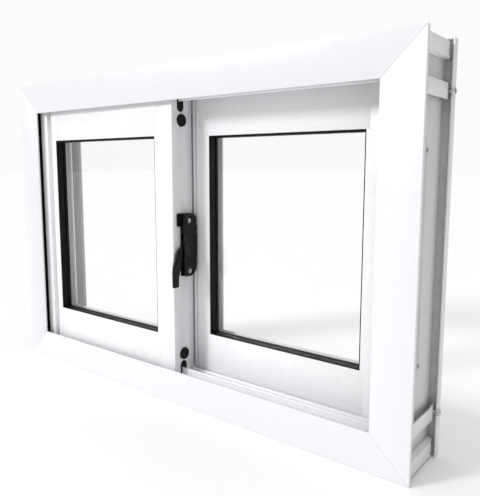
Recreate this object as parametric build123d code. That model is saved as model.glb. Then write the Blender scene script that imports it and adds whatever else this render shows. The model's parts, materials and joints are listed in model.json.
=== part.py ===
"""Two-track sliding window, 600 x 400 mm over its trims.

The origin is at the middle of the window's footprint, on the surface it stands on.
X runs along the window, Z runs up, and the room side faces -Y.  "Depth" in this file
is the distance behind the front face of the front trim.
"""
from build123d import *
import os

# ---- driving dimensions, millimetres -------------------------------------------------
WIDTH = 600.0                 # over the trims
HEIGHT = 400.0                # over the trims
DEPTH = 76.0                  # front trim face to rear trim face
TRIM_WIDTH = 40.0             # visible width of each mitred trim
TRIM_PLATE = 1.6              # thickness of the trim's face
FRONT_LIP = 4.5               # depth of the front trims' outer return
REAR_LIP = 9.0                # the same behind
TRIM_LIP_WALL = 1.2
BODY_INSET = 3.0              # frame body inside the trim's outer edge, each side
WALL = 1.5                    # extrusion wall
LEG_GAP = 0.3                 # frame leg behind the trim plate

TRACK_BASE = 14.5             # height of the head's and the sill's hollow base
RAIL_TOP = 37.5               # height of the sill's running rails
HEAD_RIB = 39.3               # reach of the head's ribs, from the top
RAIL_WALL = 2.8
FRONT_RAIL_DEPTH = 23.0       # centre of the front track
TRACK_PITCH = 34.5            # front track to rear track
MIDDLE_LEG_TOP = 33.4
MIDDLE_LEG_DEPTH = 39.7
LEG_TOP = 38.0                # front and rear legs of head and sill

WEB_X = 290.0                 # outer face of the jamb's web
SEAL_TIP_X = 263.3            # the jamb seal ends 0.3 mm off the closed sash
SEAL_DEPTHS = (10.0, 20.0)

SASH_FACE = 8.5               # depth of the front sash's face
SASH_THICK = 28.0
SASH_BOTTOM = 30.0
SASH_TOP = HEIGHT - SASH_BOTTOM
RAIL_INSET = 1.8              # the cross rails stop this far inside the stile ends
STILE_OUT = 263.0             # jamb edge of a closed sash
STILE_MEET = 1.0              # a closed sash passes the centre by this much
GLASS_OUT = 228.5             # sight line at the jamb stile
GLASS_IN = 27.9               # sight line at the meeting stile
GLASS_LOW = 80.0              # sight line at the bottom rail
GLASS_HIGH = 321.0
MEETING_LIP = 3.9             # meeting stile between the sight line and the rail's end
JAMB_LIPS = (0.0, 3.8)        # the same on the jamb stile of the front and of the rear sash
GLASS_THICK = 4.0
GLASS_DEPTH = 9.0             # glass behind the sash face
GLASS_BITE = 7.0              # glass held inside the sight line

HOOK_BACK = 42.0              # the front sash's interlock fin reaches this depth
HOOK_LOW = 34.4               # both interlock fins start above the middle leg
PULL_X = (-248.1, -238.8)     # finger pull groove in the front sash's jamb stile
PULL_DEPTH = 6.0

WHEEL_TREAD = 6.4             # rolling radius
WHEEL_FLANGE = 8.0
WHEEL_WIDTH = 7.0
WHEEL_GROOVE = 3.6
AXLE_RADIUS = 1.5
AXLE_PLAY = 0.05
WHEEL_GAP = 0.3               # wheel over its rail
ROLLER_INSET = 62.0           # roller centre from each stile's outer edge

STRAP_WIDTH = 14.4
STRAP_CENTRE = 353.1          # height of the upper straps
STRAP_WALL = 1.2
STRAP_DEPTHS = (5.6, 63.5)
STRAP_SCREW_DEPTH = 69.2
END_PLATE = 1.5               # closing plates on the ends of head and sill
END_PLATE_DEPTHS = (3.8, 62.5)

LATCH_HIGH = 229.4
LATCH_LOW = 153.0
LATCH_FRONT = 20.5            # depth of the case's front edge
LATCH_BACK = 41.2
LATCH_PROUD = 8.0             # case in front of the stile's side
PIVOT_DEPTH = 33.0
PIVOT_HEIGHT = 192.0
PIN_RADIUS = 2.0
PIN_PLAY = 0.05

TRAVEL = 256.0                # clear slide of each sash

SCREW_CORE = 1.9              # screw shank radius
SCREW_PLAY = 0.1
SCREW_DEPTHS = (28.0, 48.0)   # frame corner screws
FRAME_SCREW_X = 280.0
CORNER_SCREW_LENGTH = 18.0
MOUNT_HEIGHTS = (100.0, 300.0)
MOUNT_DEPTH = 38.0
MOUNT_RADIUS = 2.5
SLOT_X = (-212.0, 212.0)      # drain slots in the sill
SLOT_HALF = 4.0
SLOT_Z = (25.6, 28.2)

NOTCH_DEPTH = (17.8, 29.0)
NOTCH_TOP = 348.5             # lower end of the rounded slot at the stile's head
NOTCH_LOW = 46.4              # upper end of the one at its foot
PLUG_RADIUS = 7.4
PLUG_DEPTH = 24.6
PLUG_HIGH = 339.0
PLUG_LOW = 55.2
POCKET_PLAY = 1.0
PORT_HEIGHT = 59.2            # screw ports in the rails' ends
PORT_LENGTH = 14.0
PORT_HALF = 3.6
GASKET_LIP = (1.6, 1.2, 2.4)  # gasket shown at the sides, below and above the glass

REAR_FIN_X = (-6.0, -4.6)
REAR_FIN_TIP = 37.8
REAR_LIP_X = (3.2, 5.6)
REAR_FACE_X = 8.0             # the rear meeting stile's face starts here, behind a step
REAR_STEP = 3.0

LATCH_SCREWS = (220.6, 158.9)
LATCH_SCREW_DEPTH = 29.8
LATCH_WALL = 1.3
LEVER_GAP = 0.5
HUB_RADIUS = 5.0
KEEPER_X = (2.0, 7.9)
KEEPER_Z = (177.0, 213.0)
KEEPER_LEG = (184.0, 206.0)
KEEPER_LEG_TIP = 44.3
KEEPER_WALL = 1.2
KEEPER_SCREWS = (180.4, 209.6)
KEEPER_SCREW_X = 4.6
KEEPER_SCREW_RADII = (1.2, 1.6)

BODY_X = WIDTH / 2 - BODY_INSET
BASE_X = BODY_X - END_PLATE
BASE_LOW = BODY_INSET + 0.5   # underside of the sill's base
BASE_TOP = BASE_LOW + TRACK_BASE
LEG_FRONT = TRIM_PLATE + LEG_GAP
LEG_BACK = DEPTH - LEG_FRONT
BOSS_X = (275.5, WEB_X - WALL)
REAR_RAIL_DEPTH = FRONT_RAIL_DEPTH + TRACK_PITCH
SASH_BACK = SASH_FACE + SASH_THICK
REAR_FACE = SASH_FACE + TRACK_PITCH
POCKET = (SASH_FACE + WALL, SASH_BACK - WALL)
GLASS_X = (-GLASS_OUT - GLASS_BITE, -GLASS_IN + GLASS_BITE)
GLASS_Z = (GLASS_LOW - GLASS_BITE, GLASS_HIGH + GLASS_BITE)
GLASS_Y = (SASH_FACE + GLASS_DEPTH, SASH_FACE + GLASS_DEPTH + GLASS_THICK)
CORNER_WALL_X = (GLASS_X[0] - POCKET_PLAY - WALL, GLASS_X[1] + POCKET_PLAY + WALL)
PILE_GAP = 0.4                # the pile stops this far off the frame's legs
FRONT_PILE_DEPTH = (LEG_FRONT + WALL + PILE_GAP, SASH_FACE)
REAR_PILE_DEPTH = (SASH_BACK, LEG_BACK - WALL - PILE_GAP - TRACK_PITCH)
ROLLER_X = (-STILE_OUT + ROLLER_INSET, STILE_MEET - ROLLER_INSET)
AXLE_Z = RAIL_TOP + WHEEL_GAP + WHEEL_TREAD
AXLE_HALF = 9.0
HOUSING_HALF = 15.0
LATCH_OUT = STILE_MEET + LATCH_PROUD
LEVER_X = (STILE_MEET + 2.2, STILE_MEET + 5.4)
PARTS = "parts"


# ---- small helpers -------------------------------------------------------------------
def block(x, depth, z):
    """A box from three ranges; depth is measured from the front trim's face."""
    size = (x[1] - x[0], depth[1] - depth[0], z[1] - z[0])
    middle = ((x[0] + x[1]) / 2, (depth[0] + depth[1]) / 2 - DEPTH / 2, (z[0] + z[1]) / 2)
    return Pos(*middle) * Box(*size)


def rod_x(x, depth, z, radius):
    """A cylinder along X."""
    middle = ((x[0] + x[1]) / 2, depth - DEPTH / 2, z)
    return Pos(*middle) * Rot(0, 90, 0) * Cylinder(radius, x[1] - x[0])


def rod_y(x, depth, z, radius):
    """A cylinder along Y."""
    middle = (x, (depth[0] + depth[1]) / 2 - DEPTH / 2, z)
    return Pos(*middle) * Rot(90, 0, 0) * Cylinder(radius, depth[1] - depth[0])


def rod_z(x, depth, z, radius):
    """A cylinder along Z."""
    middle = (x, depth - DEPTH / 2, (z[0] + z[1]) / 2)
    return Pos(*middle) * Cylinder(radius, z[1] - z[0])


def flip_x(shape):
    return mirror(shape, about=Plane.YZ)


def flip_z(shape):
    """The same shape upside down about the window's middle height."""
    return mirror(shape, about=Plane(origin=(0, 0, HEIGHT / 2), z_dir=(0, 0, 1)))


def flip_depth(shape):
    """The same shape with front and back exchanged."""
    return mirror(shape, about=Plane.XZ)


def save(name, *solids):
    """One node: one solid, or a group of separate ones."""
    loose = [piece for solid in solids for piece in solid.solids()]
    shape = loose[0] if len(loose) == 1 else Compound(children=loose)
    shape.label = name
    export_step(shape, os.path.join(PARTS, name + ".step"))


# ---- trims: mitred angle profiles, one set in front and one behind --------------------
def trim_section_cut(x_outer, z_outer):
    """Keeps what lies on one side of the 45 degree mitre at both ends of a long bar."""
    reach = TRIM_WIDTH + 1
    points = [(-x_outer, 0), (x_outer, 0), (x_outer - reach, reach), (-x_outer + reach, reach)]
    face = Polyline(*points, close=True)
    keep = extrude(make_face(face), DEPTH)
    return Pos(0, DEPTH / 2, z_outer) * Rot(90, 0, 0) * keep


def bottom_trim(lip_depth):
    half = WIDTH / 2
    plate = block((-half, half), (0, TRIM_PLATE), (0, TRIM_WIDTH))
    lip = block((-half, half), (0, lip_depth), (0, TRIM_LIP_WALL))
    return (plate + lip) & trim_section_cut(half, 0)


def left_trim(lip_depth):
    half = WIDTH / 2
    plate = block((-half, -half + TRIM_WIDTH), (0, TRIM_PLATE), (0, HEIGHT))
    lip = block((-half, -half + TRIM_LIP_WALL), (0, lip_depth), (0, HEIGHT))
    bar = plate + lip
    lower = trim_section_cut(half, 0)
    return bar - lower - flip_z(lower)


def make_trims():
    bottom = bottom_trim(FRONT_LIP)
    left = left_trim(FRONT_LIP)
    rear_bottom = flip_depth(bottom_trim(REAR_LIP))
    screw_hole = [strap_screw_hole(level) for level in (STRAP_CENTRE, HEIGHT - STRAP_CENTRE)]
    rear_left = flip_depth(left_trim(REAR_LIP)) - screw_hole[0] - screw_hole[1]
    save("front_trim_bottom", bottom)
    save("front_trim_top", flip_z(bottom))
    save("front_trim_left", left)
    save("front_trim_right", flip_x(left))
    save("rear_trim_bottom", rear_bottom)
    save("rear_trim_top", flip_z(rear_bottom))
    save("rear_trim_left", rear_left)
    save("rear_trim_right", flip_x(rear_left))


# ---- frame: head, sill, jambs ----------------------------------------------------------


def track(rib_top):
    """Hollow base with two running ribs, a middle leg and two outer legs."""
    low = BASE_LOW
    top = BASE_TOP
    body = block((-BASE_X, BASE_X), (LEG_FRONT, LEG_BACK), (low, top))
    body -= block((-BASE_X, BASE_X), (LEG_FRONT + WALL, LEG_BACK - WALL), (low + WALL, top - WALL))
    between_bosses = (-BOSS_X[0] + 1, BOSS_X[0] - 1)
    tip = rib_top - RAIL_WALL / 2
    for centre in (FRONT_RAIL_DEPTH, REAR_RAIL_DEPTH):
        rib = (centre - RAIL_WALL / 2, centre + RAIL_WALL / 2)
        body += block(between_bosses, rib, (low + WALL / 2, tip))
        body += rod_x(between_bosses, centre, tip, RAIL_WALL / 2)
    middle = (MIDDLE_LEG_DEPTH - WALL / 2, MIDDLE_LEG_DEPTH + WALL / 2)
    body += block(between_bosses, middle, (top - WALL / 2, MIDDLE_LEG_TOP))
    inner = WEB_X - WALL - LEG_GAP
    for leg in ((LEG_FRONT, LEG_FRONT + WALL), (LEG_BACK - WALL, LEG_BACK)):
        body += block((-inner, inner), leg, (top - WALL / 2, LEG_TOP))
    return body


def drain_slots():
    """Slots through the sill's middle and rear legs that let water out."""
    slots = None
    for x in SLOT_X:
        slot = block((x - SLOT_HALF, x + SLOT_HALF), (MIDDLE_LEG_DEPTH - 3, LEG_BACK + 3), SLOT_Z)
        slots = slot if slots is None else slots + slot
    return slots


def frame_screw_holes(radius, low, high):
    holes = None
    for side in (-1, 1):
        for depth in SCREW_DEPTHS:
            hole = rod_z(side * FRAME_SCREW_X, depth, (low, high), radius)
            holes = hole if holes is None else holes + hole
    return holes


def mount_holes():
    """Fixing holes through each jamb's web, on its centre line."""
    holes = None
    for z in MOUNT_HEIGHTS:
        hole = rod_x((WEB_X - 3 * WALL, WEB_X + WALL), MOUNT_DEPTH, z, MOUNT_RADIUS)
        holes = hole if holes is None else holes + hole
    return holes


def jamb():
    """Right jamb: a web with outward flanges, inward legs and two screw bosses."""
    low = BASE_TOP
    high = HEIGHT - low
    span = (low, high)
    web = block((WEB_X - WALL, WEB_X), (LEG_FRONT, LEG_BACK), span)
    body = web
    for flange in ((LEG_FRONT, LEG_FRONT + WALL), (LEG_BACK - WALL, LEG_BACK)):
        body += block((WEB_X - WALL, BODY_X), flange, span)
        body += block((WIDTH / 2 - TRIM_WIDTH + 2, WEB_X), flange, (LEG_TOP + 1, HEIGHT - LEG_TOP - 1))
    for depth in SCREW_DEPTHS:
        body += block(BOSS_X, (depth - 4.5, depth + 4.5), span)
        for end in ((low, low + 22), (high - 22, high)):
            body -= rod_z(FRAME_SCREW_X, depth, end, SCREW_CORE + SCREW_PLAY)
    return body - mount_holes()


def pan_screw(length, radius, head_radius, head_height):
    """A pan head screw along +Z, with its head's underside at the origin."""
    shank = Pos(0, 0, -length / 2) * Cylinder(radius, length)
    head = Pos(0, 0, head_height / 2) * Cylinder(head_radius, head_height)
    rim = head.edges().group_by(Axis.Z)[-1]
    head = fillet(rim, head_height * 0.6)
    cross = Pos(0, 0, head_height) * (Box(0.9, 3.6, 1.6) + Box(3.6, 0.9, 1.6))
    return shank + head - cross


def end_plate():
    """Right-hand plate that closes the end of the sill's hollow base."""
    return block((BASE_X, BODY_X), END_PLATE_DEPTHS, (BASE_LOW, BASE_TOP))


def make_frame():
    low = BASE_LOW
    through = frame_screw_holes(SCREW_CORE + SCREW_PLAY, low - 1, BASE_TOP + 1)
    save("sill_track", track(RAIL_TOP) - through - drain_slots())
    save("head_track", flip_z(track(HEAD_RIB) - through))
    plate = end_plate()
    save("end_plates_right", plate, flip_z(plate))
    save("end_plates_left", flip_x(plate), flip_x(flip_z(plate)))
    right = jamb()
    save("jamb_right", right)
    save("jamb_left", flip_x(right))
    screw = pan_screw(30.0, SCREW_CORE, 3.4, 2.4)
    screws = []
    for side in (-1, 1):
        for depth in SCREW_DEPTHS:
            place = Pos(side * FRAME_SCREW_X, depth - DEPTH / 2, low) * Rot(180, 0, 0)
            screws += [place * screw, flip_z(place * screw)]
    save("frame_corner_screws", *screws)


# ---- straps that tie the two trims together across each jamb ---------------------------
def strap():
    """Right upper strap: a flat strip with its rear end joggled under the trim's lip."""
    z = (STRAP_CENTRE - STRAP_WIDTH / 2, STRAP_CENTRE + STRAP_WIDTH / 2)
    outer = BODY_X
    flat = block((outer - STRAP_WALL, outer), STRAP_DEPTHS, z)
    tab_depths = (LEG_FRONT + WALL + 0.2, STRAP_DEPTHS[0] + 0.5)
    front_tab = block((outer - STRAP_WALL, outer), tab_depths, (z[0] + 3, z[1] - 3))
    joggle = STRAP_DEPTHS[1] - STRAP_WALL
    step = block((outer - 2 * STRAP_WALL, outer), (joggle, STRAP_DEPTHS[1]), z)
    tail = block((outer - 2 * STRAP_WALL, outer - STRAP_WALL), (joggle, LEG_BACK - WALL - 0.3), z)
    body = flat + front_tab + step + tail
    body -= rod_x((outer - 4, outer + 1), STRAP_SCREW_DEPTH, STRAP_CENTRE, SCREW_CORE + SCREW_PLAY)
    return body - rod_x((outer - 0.5, outer + 1), 56.0, STRAP_CENTRE - 2.5, 1.3)


def strap_screw_hole(level):
    half = WIDTH / 2
    return rod_x((-half - 1, -half + 4), STRAP_SCREW_DEPTH, level, SCREW_CORE + SCREW_PLAY)


def make_straps():
    right_upper = strap()
    save("strap_right_upper", right_upper)
    save("strap_right_lower", flip_z(right_upper))
    save("strap_left_upper", flip_x(right_upper))
    save("strap_left_lower", flip_x(flip_z(right_upper)))
    screw = pan_screw(6.0, SCREW_CORE, 3.6, 2.2)
    placed = Pos(WIDTH / 2, STRAP_SCREW_DEPTH - DEPTH / 2, STRAP_CENTRE) * Rot(0, 90, 0) * screw
    screws = [placed, flip_z(placed), flip_x(placed), flip_x(flip_z(placed))]
    save("strap_screws", *screws)


# ---- seals and stops that stay with the frame -------------------------------------------
def jamb_seal():
    """Left jamb: a hollow rubber strip that the closed front sash runs up to."""
    z = (LEG_TOP + 2, HEIGHT - LEG_TOP - 2)
    root = -WEB_X + WALL
    body = block((root, root + 3), SEAL_DEPTHS, z)
    for near in (SEAL_DEPTHS[0], SEAL_DEPTHS[1] - 2):
        body += block((root, -SEAL_TIP_X - 3), (near, near + 2), z)
    middle = sum(SEAL_DEPTHS) / 2
    return body + rod_z(-SEAL_TIP_X - 5, middle, z, 5.0)


def make_seals():
    left = jamb_seal()
    save("jamb_seal_left", left)
    save("jamb_seal_right", flip_x(flip_depth(left)))
    stop_x = (STILE_MEET + TRAVEL + 0.5, STILE_MEET + TRAVEL + 12.5)
    high = HEIGHT - BASE_TOP
    front = FRONT_RAIL_DEPTH
    stop = block(stop_x, (front - 7, front + 7), (HEIGHT - RAIL_TOP + 3, high))
    stop -= block(stop_x, (front - RAIL_WALL / 2, front + RAIL_WALL / 2), (HEIGHT - RAIL_TOP, high))
    stop = stop.solids()
    save("head_stop_right", *stop)
    moved = [Pos(0, TRACK_PITCH, 0) * flip_x(piece) for piece in stop]
    save("head_stop_left", *moved)


# ---- sashes ----------------------------------------------------------------------------
# Each sash part is drawn for the front sash, which closes to the left.  The rear sash is
# its mirror image, one track further back.


def glazing_cut():
    """Space for the glass and its gasket all round the sight opening."""
    play = POCKET_PLAY
    return block((GLASS_X[0] - play, GLASS_X[1] + play), (POCKET[0], POCKET[1]),
                 (GLASS_Z[0] - play, GLASS_Z[1] + play))


def rail_span(jamb_lip):
    return (-GLASS_OUT - jamb_lip, -GLASS_IN + MEETING_LIP)


def cross_rail(sight, jamb_lip):
    """Bottom rail: a box open below for the rollers, with a glazing pocket on top."""
    span = rail_span(jamb_lip)
    low = SASH_BOTTOM + RAIL_INSET
    web = sight - GLASS_BITE - POCKET_PLAY
    body = block(span, (SASH_FACE, SASH_BACK), (low, sight))
    body -= block(span, POCKET, (low, web - WALL))
    body -= block(span, POCKET, (web, sight))
    depths = (PLUG_DEPTH - PORT_HALF, PLUG_DEPTH + PORT_HALF)
    for x, inward in zip(span, (1, -1)):
        port = sorted((x, x + inward * PORT_LENGTH))
        body += block(port, depths, (PORT_HEIGHT - PORT_HALF + 0.6, web - WALL / 2))
        body -= rod_x((port[0] - 1, port[1] + 1), PLUG_DEPTH, PORT_HEIGHT, SCREW_CORE + SCREW_PLAY)
    return body


def side_hollow(x):
    return block(x, POCKET, (SASH_BOTTOM, SASH_TOP))


def end_notches(x):
    """The rounded slots that let the running rails pass through a stile's ends."""
    radius = (NOTCH_DEPTH[1] - NOTCH_DEPTH[0]) / 2
    centre = sum(NOTCH_DEPTH) / 2
    low = block(x, NOTCH_DEPTH, (SASH_BOTTOM - 1, NOTCH_LOW - radius))
    low += rod_x(x, centre, NOTCH_LOW - radius, radius)
    high = block(x, NOTCH_DEPTH, (NOTCH_TOP + radius, SASH_TOP + 1))
    high += rod_x(x, centre, NOTCH_TOP + radius, radius)
    return low + high


def plug_holes(x, radius):
    return rod_x(x, PLUG_DEPTH, PLUG_HIGH, radius) + rod_x(x, PLUG_DEPTH, PLUG_LOW, radius)


def port_holes():
    """Clearance holes for the corner screws through the stiles' inner walls."""
    holes = None
    for z in (PORT_HEIGHT, HEIGHT - PORT_HEIGHT):
        for wall_x, sight_x in zip(CORNER_WALL_X, (-GLASS_OUT, -GLASS_IN)):
            span = sorted((wall_x, sight_x))
            hole = rod_x((span[0] - 1, span[1] + 1), PLUG_DEPTH, z, SCREW_CORE + SCREW_PLAY)
            holes = hole if holes is None else holes + hole
    return holes


def rail_seats(x):
    """Where a cross rail's end laps over a stile's lip, above and below the glass."""
    depths = (SASH_FACE - 1, SASH_BACK + 1)
    return block(x, depths, (SASH_BOTTOM - 1, GLASS_LOW)) + block(x, depths, (GLASS_HIGH, SASH_TOP + 1))


def pull_groove(body):
    """Sinks a finger pull groove into a jamb stile's face."""
    walls = (PULL_X[0] - WALL, PULL_X[1] + WALL)
    body += block(walls, (SASH_FACE, SASH_FACE + PULL_DEPTH + WALL), (SASH_BOTTOM, SASH_TOP))
    return body - block(PULL_X, (SASH_FACE - 1, SASH_FACE + PULL_DEPTH), (SASH_BOTTOM - 1, SASH_TOP + 1))


def jamb_stile(jamb_lip, with_pull):
    x = (-STILE_OUT, -GLASS_OUT)
    body = block(x, (SASH_FACE, SASH_BACK), (SASH_BOTTOM, SASH_TOP))
    body -= side_hollow((x[0] + WALL, CORNER_WALL_X[0]))
    if with_pull:
        body = pull_groove(body)
    if jamb_lip > 0:
        body -= rail_seats((rail_span(jamb_lip)[0], x[1]))
    body -= glazing_cut()
    body -= port_holes()
    body -= end_notches((x[0] - 1, x[1] + 1))
    return body - plug_holes((x[0] - 1, x[0] + WALL + 1), PLUG_RADIUS - 1)


def meeting_box(x_side):
    """The closed part that both meeting stiles share; x_side is its outer side."""
    x = (-GLASS_IN, x_side)
    body = block(x, (SASH_FACE, SASH_BACK), (SASH_BOTTOM, SASH_TOP))
    body -= side_hollow((CORNER_WALL_X[1], x[1] - WALL))
    body -= rail_seats((x[0], x[0] + MEETING_LIP))
    return body - glazing_cut() - port_holes()


def front_meeting_stile():
    """Box with a fin that runs on from its side and hooks behind the rear sash's fin."""
    body = meeting_box(STILE_MEET)
    fin_z = (HOOK_LOW, HEIGHT - HOOK_LOW)
    body += block((STILE_MEET - WALL, STILE_MEET), (SASH_BACK - WALL, HOOK_BACK), fin_z)
    body -= end_notches((-GLASS_IN - 1, STILE_MEET + 1))
    body -= plug_holes((STILE_MEET - WALL - 1, STILE_MEET + 1), PLUG_RADIUS - 1)
    for z in LATCH_SCREWS:
        body -= rod_x((STILE_MEET - WALL - 1, STILE_MEET + 1), LATCH_SCREW_DEPTH, z,
                      SCREW_CORE + SCREW_PLAY)
    return body


def rear_meeting_stile():
    """Box with a stepped front edge and a fin that reaches forward behind the front fin."""
    body = to_rear_track(meeting_box(STILE_MEET))
    z = (SASH_BOTTOM - 1, SASH_TOP + 1)
    body -= block((-STILE_MEET - 1, REAR_FACE_X), (REAR_FACE - 1, REAR_FACE + REAR_STEP), z)
    floor = (REAR_FACE + REAR_STEP, REAR_FACE + REAR_STEP + WALL)
    full = (SASH_BOTTOM, SASH_TOP)
    fin_z = (HOOK_LOW, HEIGHT - HOOK_LOW)
    body += block((-STILE_MEET, REAR_FACE_X + WALL), floor, full)
    body += block((REAR_FACE_X, REAR_FACE_X + WALL), (REAR_FACE, floor[1]), full)
    body += block(REAR_LIP_X, (REAR_FACE, floor[1]), fin_z)
    body += block((REAR_FIN_X[0], 0), floor, fin_z)
    body += block(REAR_FIN_X, (REAR_FIN_TIP, floor[1]), fin_z)
    body -= to_rear_track(end_notches((-GLASS_IN - 1, STILE_MEET + 1)))
    body -= to_rear_track(plug_holes((STILE_MEET - WALL - 1, STILE_MEET + 1), PLUG_RADIUS - 1))
    return body - keeper_recess()


def sight_frame(outset, inset_side, inset_low, inset_high, depth):
    """A picture-frame ring around the sight opening."""
    outer = block((-GLASS_OUT - outset, -GLASS_IN + outset), depth,
                  (GLASS_LOW - outset, GLASS_HIGH + outset))
    inner = block((-GLASS_OUT + inset_side, -GLASS_IN - inset_side), (depth[0] - 1, depth[1] + 1),
                  (GLASS_LOW + inset_low, GLASS_HIGH - inset_high))
    return outer - inner


def gasket():
    """Rubber channel around the pane: a front leg, an edge band and a rear leg."""
    front = sight_frame(0, *GASKET_LIP, (SASH_FACE + 0.4, GLASS_Y[0]))
    front += sight_frame(GLASS_BITE, *GASKET_LIP, (POCKET[0] + 0.3, GLASS_Y[0]))
    back = sight_frame(GLASS_BITE, *GASKET_LIP, (GLASS_Y[1], GLASS_Y[1] + 4.0))
    band = sight_frame(GLASS_BITE + 0.8, -GLASS_BITE, -GLASS_BITE, -GLASS_BITE,
                       (POCKET[0] + 0.3, GLASS_Y[1] + 4.0))
    return front + back + band


def glass():
    return block(GLASS_X, GLASS_Y, GLASS_Z)


def end_guide(low):
    """Nylon guide in a stile's end slot, slotted for the running rail."""
    radius = (NOTCH_DEPTH[1] - NOTCH_DEPTH[0]) / 2 - 0.1
    centre = sum(NOTCH_DEPTH) / 2
    span = (NOTCH_DEPTH[0] + 0.1, NOTCH_DEPTH[1] - 0.1)
    x = (STILE_MEET - WALL - 2.0, STILE_MEET - 0.3)
    slot = (FRONT_RAIL_DEPTH - RAIL_WALL / 2 - 0.8, FRONT_RAIL_DEPTH + RAIL_WALL / 2 + 0.8)
    if low:
        body = block(x, span, (SASH_BOTTOM + 0.3, NOTCH_LOW - radius - 0.1))
        body += rod_x(x, centre, NOTCH_LOW - radius - 0.1, radius)
        return body - block((x[0] - 1, x[1] + 1), slot, (SASH_BOTTOM - 1, RAIL_TOP + 1))
    body = block(x, span, (NOTCH_TOP + radius + 0.1, SASH_TOP - 0.3))
    body += rod_x(x, centre, NOTCH_TOP + radius + 0.1, radius)
    return body - block((x[0] - 1, x[1] + 1), slot, (HEIGHT - HEAD_RIB - 1, SASH_TOP + 1))


def plug(x_face, z, outward):
    """Push-in cap for an access hole: a domed head and a stem."""
    head = Pos(0, 0, 1.0) * Cylinder(PLUG_RADIUS, 2.0)
    head = fillet(head.edges().group_by(Axis.Z)[-1], 1.2)
    stem = Pos(0, 0, -2.0) * Cylinder(PLUG_RADIUS - 1.1, 4.0)
    turn = Rot(0, 90 * outward, 0)
    return Pos(x_face, PLUG_DEPTH - DEPTH / 2, z) * turn * (head + stem)


def flush_plug(z):
    """Cap for the access hole in the jamb stile's edge, level with the metal."""
    return rod_x((-STILE_OUT, -STILE_OUT + 5.0), PLUG_DEPTH, z, PLUG_RADIUS - 1.1)


def pile_strips(depth):
    """Brush strips on the top and bottom rails, against the frame's outer legs."""
    x = (-GLASS_OUT + 1, -GLASS_IN - 1)
    low = SASH_BOTTOM + RAIL_INSET
    bottom = block(x, depth, (low + 0.8, low + 4.8))
    return [bottom, flip_z(bottom)]


def corner_screws():
    """Screws from inside the stiles into the ends of both cross rails."""
    screws = []
    screw = pan_screw(CORNER_SCREW_LENGTH, SCREW_CORE, 3.2, 2.2)
    for wall_x, turn in zip(CORNER_WALL_X, (-90, 90)):
        for z in (PORT_HEIGHT, HEIGHT - PORT_HEIGHT):
            place = Pos(wall_x, PLUG_DEPTH - DEPTH / 2, z)
            screws.append(place * Rot(0, turn, 0) * screw)
    return screws


def roller_housing(x):
    """Pressed carrier: two cheeks and a bridge, clipped inside the bottom rail."""
    wide = (x - HOUSING_HALF, x + HOUSING_HALF)
    top = AXLE_Z + WHEEL_FLANGE + 2.6
    low = AXLE_Z - 4.0
    reach = WHEEL_WIDTH / 2 + 0.5
    body = block(wide, POCKET, (low, top))
    body -= block((wide[0] - 1, wide[1] + 1), (FRONT_RAIL_DEPTH - reach, FRONT_RAIL_DEPTH + reach),
                  (low - 1, top - 1.4))
    axle_reach = (FRONT_RAIL_DEPTH - AXLE_HALF, FRONT_RAIL_DEPTH + AXLE_HALF)
    return body - rod_y(x, axle_reach, AXLE_Z, AXLE_RADIUS)


def roller_axle(x):
    return rod_y(x, (FRONT_RAIL_DEPTH - AXLE_HALF, FRONT_RAIL_DEPTH + AXLE_HALF), AXLE_Z, AXLE_RADIUS)


def roller_wheel(x):
    """Flanged nylon wheel that straddles the rail."""
    half = WHEEL_WIDTH / 2
    centre = FRONT_RAIL_DEPTH
    body = rod_y(x, (centre - half, centre + half), AXLE_Z, WHEEL_FLANGE)
    groove = rod_y(x, (centre - WHEEL_GROOVE / 2, centre + WHEEL_GROOVE / 2), AXLE_Z, WHEEL_FLANGE + 1)
    core = rod_y(x, (centre - half, centre + half), AXLE_Z, WHEEL_TREAD)
    body = body - groove + core
    body -= rod_y(x, (centre - half, centre + half), AXLE_Z, AXLE_RADIUS + AXLE_PLAY)
    for turn in range(5):
        spoke = Pos(x, centre - DEPTH / 2, AXLE_Z) * Rot(0, 72 * turn, 0) * Pos(4.0, 0, 0)
        body -= spoke * Rot(90, 0, 0) * Cylinder(1.1, WHEEL_WIDTH + 1)
    return body


def make_sash(name, place, pile_depth, jamb_lip, with_pull):
    """Everything that the front and the rear sash share."""
    top_rail = flip_z(cross_rail(HEIGHT - GLASS_HIGH, jamb_lip))
    save(name + "_sash_bottom_rail", place(cross_rail(GLASS_LOW, jamb_lip)))
    save(name + "_sash_top_rail", place(top_rail))
    save(name + "_sash_jamb_stile", place(jamb_stile(jamb_lip, with_pull)))
    save(name + "_sash_glass", place(glass()))
    save(name + "_sash_gasket", place(gasket()))
    guides = [end_guide(True), end_guide(False)]
    save(name + "_sash_end_guides", *[place(guide) for guide in guides])
    save(name + "_sash_pile", *[place(strip) for strip in pile_strips(pile_depth)])
    save(name + "_sash_corner_screws", *[place(screw) for screw in corner_screws()])
    save(name + "_sash_roller_housings", *[place(roller_housing(x)) for x in ROLLER_X])
    save(name + "_sash_roller_axles", *[place(roller_axle(x)) for x in ROLLER_X])
    for label, x in zip(("outer", "inner"), ROLLER_X):
        save(name + "_sash_wheel_" + label, place(roller_wheel(x)))


def keep_in_place(shape):
    return shape


def to_rear_track(shape):
    return Pos(0, TRACK_PITCH, 0) * flip_x(shape)


# ---- latch on the front sash, keeper in the rear one -------------------------------------


def yz_prism(points, x):
    """A prism along X from (depth, height) points."""
    flat = [(depth - DEPTH / 2, z) for depth, z in points]
    face = Plane.YZ * make_face(Polyline(*flat, close=True))
    return Pos(x[0], 0, 0) * extrude(face, x[1] - x[0])


def case_outline(grow):
    """Case seen from the side: chamfered at the top, swept in at the bottom."""
    front = LATCH_FRONT - grow
    back = LATCH_BACK + grow
    high = LATCH_HIGH + grow
    low = LATCH_LOW - grow
    return [(front, low), (back - 9, low + 1), (back - 3.5, low + 5), (back, low + 12),
            (back, high - 12), (back - 5, high), (front, high)]


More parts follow.
